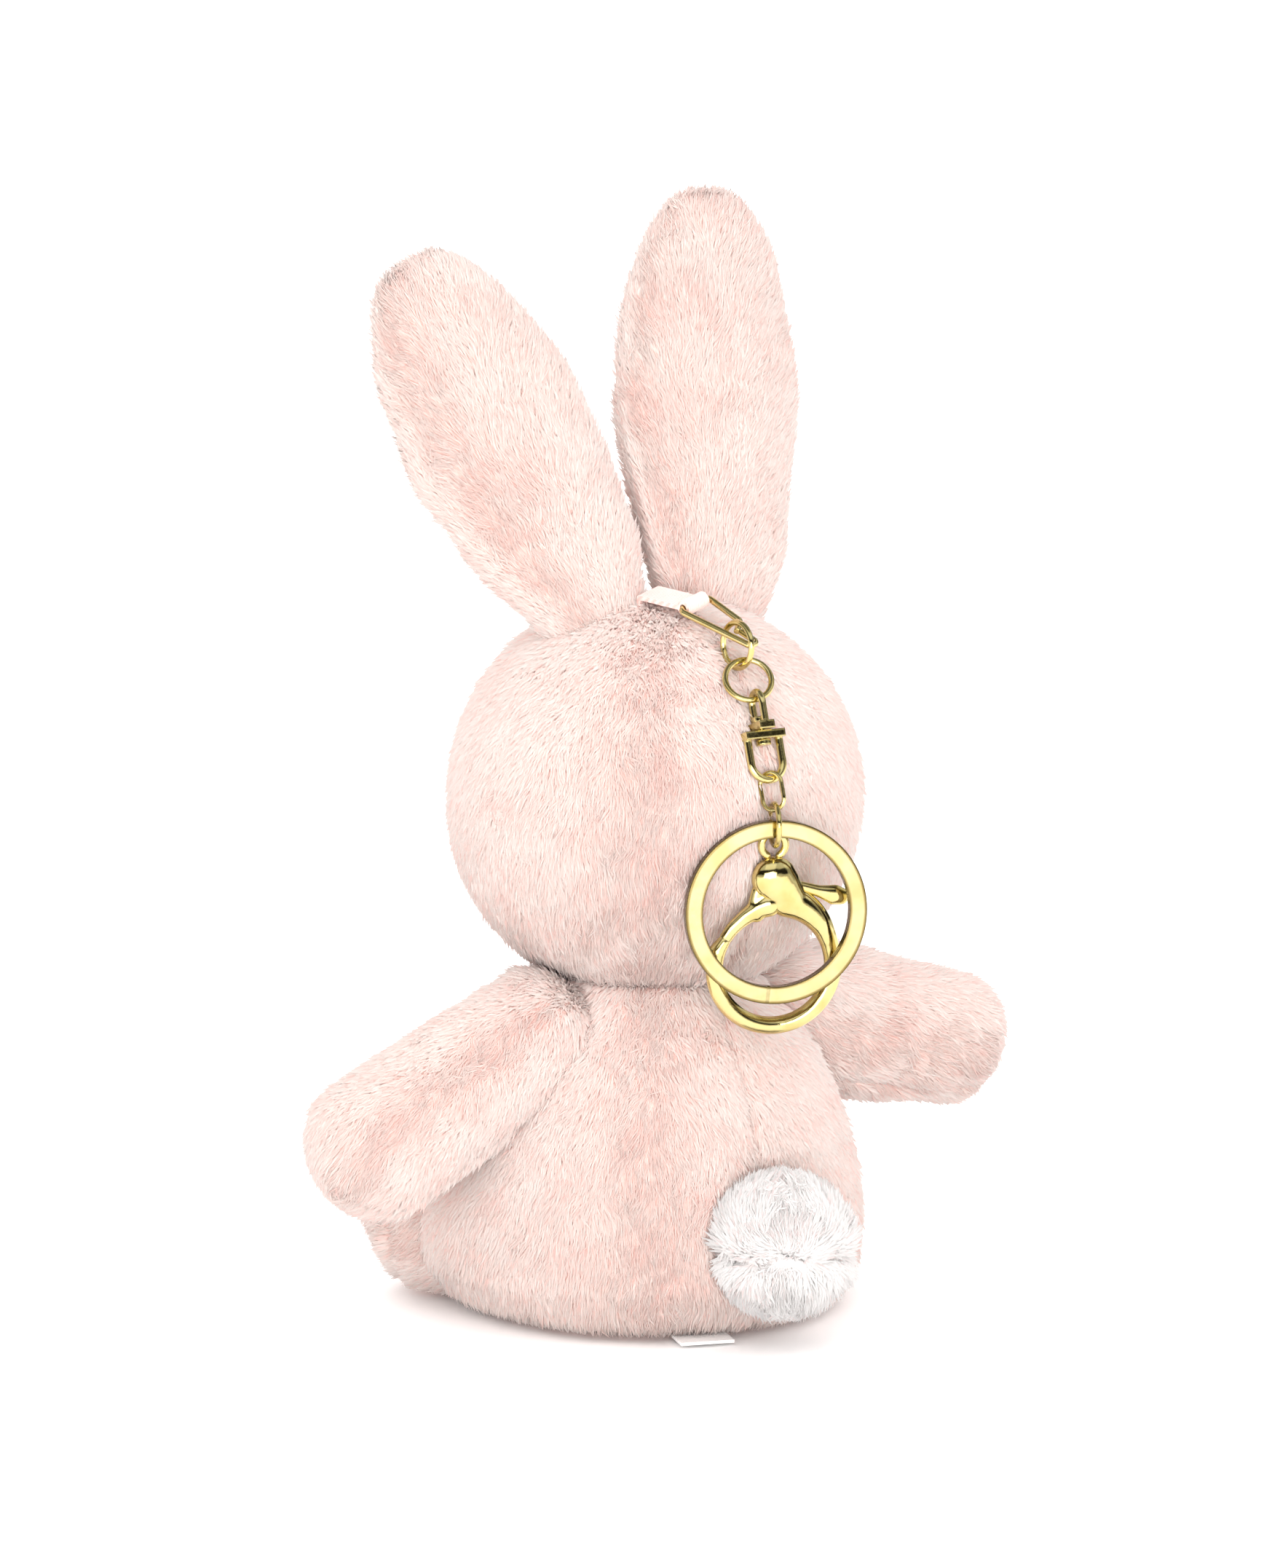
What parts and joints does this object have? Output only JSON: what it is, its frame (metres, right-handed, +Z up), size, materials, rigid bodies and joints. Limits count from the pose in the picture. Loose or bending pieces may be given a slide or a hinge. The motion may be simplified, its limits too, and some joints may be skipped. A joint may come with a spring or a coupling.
{
  "type": "plush keychain",
  "caption": "Sitting plush bunny with long ears and a round tail, hung by a ribbon tab from a swivel chain with a split key ring and a lobster clasp.",
  "frame": {"origin": "centre of the flat base the bunny sits on", "axes": "+Z up, the bunny faces -Y, its left side is +X"},
  "size_m": [0.1318, 0.0877, 0.1846],
  "materials": {
    "pink_plush": "short soft pile",
    "white_plush": "short soft pile",
    "filling": "loose polyester fibre",
    "eye_plastic": "polished",
    "nose_thread": "satin-stitch embroidery",
    "satin_ribbon": "satin weave",
    "label_satin": "satin weave, unprinted",
    "spring_steel": "drawn wire",
    "gold_plating": "polished pale-gold plate"
  },
  "bodies": {
    "torso": {"body_base": "pink_plush", "body_belly": "pink_plush", "body_back_left": "pink_plush", "body_back_right": "pink_plush", "body_filling": "filling", "tail_cover": "white_plush", "tail_filling": "filling", "care_label": "label_satin"},
    "head": {"head_left": "pink_plush", "head_right": "pink_plush", "head_filling": "filling", "eye_left": "eye_plastic", "eye_right": "eye_plastic", "nose": "nose_thread"},
    "ear_l": {"ear_left_front": "pink_plush", "ear_left_back": "pink_plush", "ear_left_filling": "filling"},
    "ear_r": {"ear_right_front": "pink_plush", "ear_right_back": "pink_plush", "ear_right_filling": "filling"},
    "arm_l": {"arm_left_front": "pink_plush", "arm_left_back": "pink_plush", "arm_left_filling": "filling"},
    "arm_r": {"arm_right_front": "pink_plush", "arm_right_back": "pink_plush", "arm_right_filling": "filling"},
    "leg_l": {"leg_left_sole": "pink_plush", "leg_left_top": "pink_plush", "leg_left_filling": "filling"},
    "leg_r": {"leg_right_sole": "pink_plush", "leg_right_top": "pink_plush", "leg_right_filling": "filling"},
    "ribbon": {"ribbon_tab": "satin_ribbon"},
    "snap": {"wire_snap": "gold_plating"},
    "ring_a": {"jump_ring_upper": "gold_plating"},
    "ring_b": {"jump_ring_lower": "gold_plating"},
    "swivel_top": {"swivel_upper_bail": "gold_plating", "swivel_rivet": "gold_plating"},
    "swivel_end": {"swivel_lower_bail": "gold_plating"},
    "link": {"oval_link": "gold_plating"},
    "joiner": {"joining_ring": "gold_plating"},
    "key_ring": {"key_ring": "gold_plating"},
    "clasp": {"clasp_body": "gold_plating", "clasp_pin": "gold_plating", "clasp_spring": "spring_steel"},
    "gate": {"clasp_gate": "gold_plating"}
  },
  "joints": [
    {"name": "neck_nod", "type": "hinge", "parent": "torso", "child": "head", "pos_m": [0, 0, 0.0533], "axis": [1, 0, 0], "range_deg": [-8, 12], "stiffness_Nm_per_rad": 0.3},
    {"name": "ear_left_fold", "type": "hinge", "parent": "head", "child": "ear_l", "pos_m": [0.012, 0, 0.1194], "axis": [0.891, 0, -0.454], "range_deg": [-6, 25], "stiffness_Nm_per_rad": 0.03},
    {"name": "ear_right_fold", "type": "hinge", "parent": "head", "child": "ear_r", "pos_m": [-0.012, 0, 0.1194], "axis": [0.9976, 0, 0.0698], "range_deg": [-6, 25], "stiffness_Nm_per_rad": 0.03},
    {"name": "arm_left_swing", "type": "hinge", "parent": "torso", "child": "arm_l", "pos_m": [0.027, 0.002, 0.0465], "axis": [0, -1, 0], "range_deg": [-8, 26], "stiffness_Nm_per_rad": 0.03},
    {"name": "arm_right_swing", "type": "hinge", "parent": "torso", "child": "arm_r", "pos_m": [-0.027, 0.002, 0.0465], "axis": [0.0872, 0.9962, 0], "range_deg": [-8, 26], "stiffness_Nm_per_rad": 0.03},
    {"name": "leg_left_lift", "type": "hinge", "parent": "torso", "child": "leg_l", "pos_m": [0.016, -0.014, 0.0145], "axis": [-0.7071, -0.7071, 0], "range_deg": [0, 30], "stiffness_Nm_per_rad": 0.05},
    {"name": "leg_right_lift", "type": "hinge", "parent": "torso", "child": "leg_r", "pos_m": [-0.016, -0.014, 0.0145], "axis": [-0.7071, 0.7071, 0], "range_deg": [0, 30], "stiffness_Nm_per_rad": 0.05},
    {"name": "ribbon_flex", "type": "hinge", "parent": "head", "child": "ribbon", "pos_m": [0.0026, 0.0023, 0.1184], "axis": [0.9459, 0.1814, -0.2691], "range_deg": [0, 20], "stiffness_Nm_per_rad": 0.002},
    {"name": "snap_swing", "type": "hinge", "parent": "ribbon", "child": "snap", "pos_m": [0.0022, 0.0158, 0.11985], "axis": [0.9459, 0.1814, -0.2691], "range_deg": [0, 30]},
    {"name": "ring_a_swing", "type": "hinge", "parent": "snap", "child": "ring_a", "pos_m": [-0.00003, 0.02647, 0.11462], "axis": [0.4381, -0.8256, 0.3556], "range_deg": [0, 20]},
    {"name": "ring_b_swing", "type": "hinge", "parent": "ring_a", "child": "ring_b", "pos_m": [-0.0001, 0.02727, 0.11051], "axis": [-0.0849, 0.8982, 0.4313], "range_deg": [-12, 12]},
    {"name": "swivel_swing", "type": "hinge", "parent": "ring_b", "child": "swivel_top", "pos_m": [0, 0.03133, 0.10558], "axis": [0.9541, -0.2297, -0.1921], "range_deg": [0, 20]},
    {"name": "swivel_spin", "type": "hinge", "parent": "swivel_top", "child": "swivel_end", "pos_m": [0, 0.0353, 0.0929], "axis": [0, -0.2975, 0.9547], "range_deg": [0, 40]},
    {"name": "link_swing", "type": "hinge", "parent": "swivel_end", "child": "link", "pos_m": [0, 0.0353, 0.0929], "axis": [0.9903, -0.1329, -0.0414], "range_deg": [0, 20]},
    {"name": "joiner_swing", "type": "hinge", "parent": "link", "child": "joiner", "pos_m": [0, 0.03675, 0.08806], "axis": [-0.4226, 0.8811, 0.2122], "range_deg": [-8, 15]},
    {"name": "key_ring_swing", "type": "hinge", "parent": "joiner", "child": "key_ring", "pos_m": [0, 0.0368, 0.08235], "axis": [0.3584, 0.9336, 0], "range_deg": [-20, 20]},
    {"name": "clasp_swing", "type": "hinge", "parent": "joiner", "child": "clasp", "pos_m": [0, 0.0368, 0.08235], "axis": [0.3584, 0.9336, 0], "range_deg": [-15, 15]},
    {"name": "gate_open", "type": "hinge", "parent": "clasp", "child": "gate", "pos_m": [-0.00051, 0.03547, 0.07675], "axis": [0.357, 0.93, -0.0872], "range_deg": [0, 20], "stiffness_Nm_per_rad": 0.002, "springref_deg": -8.59}
  ]
}
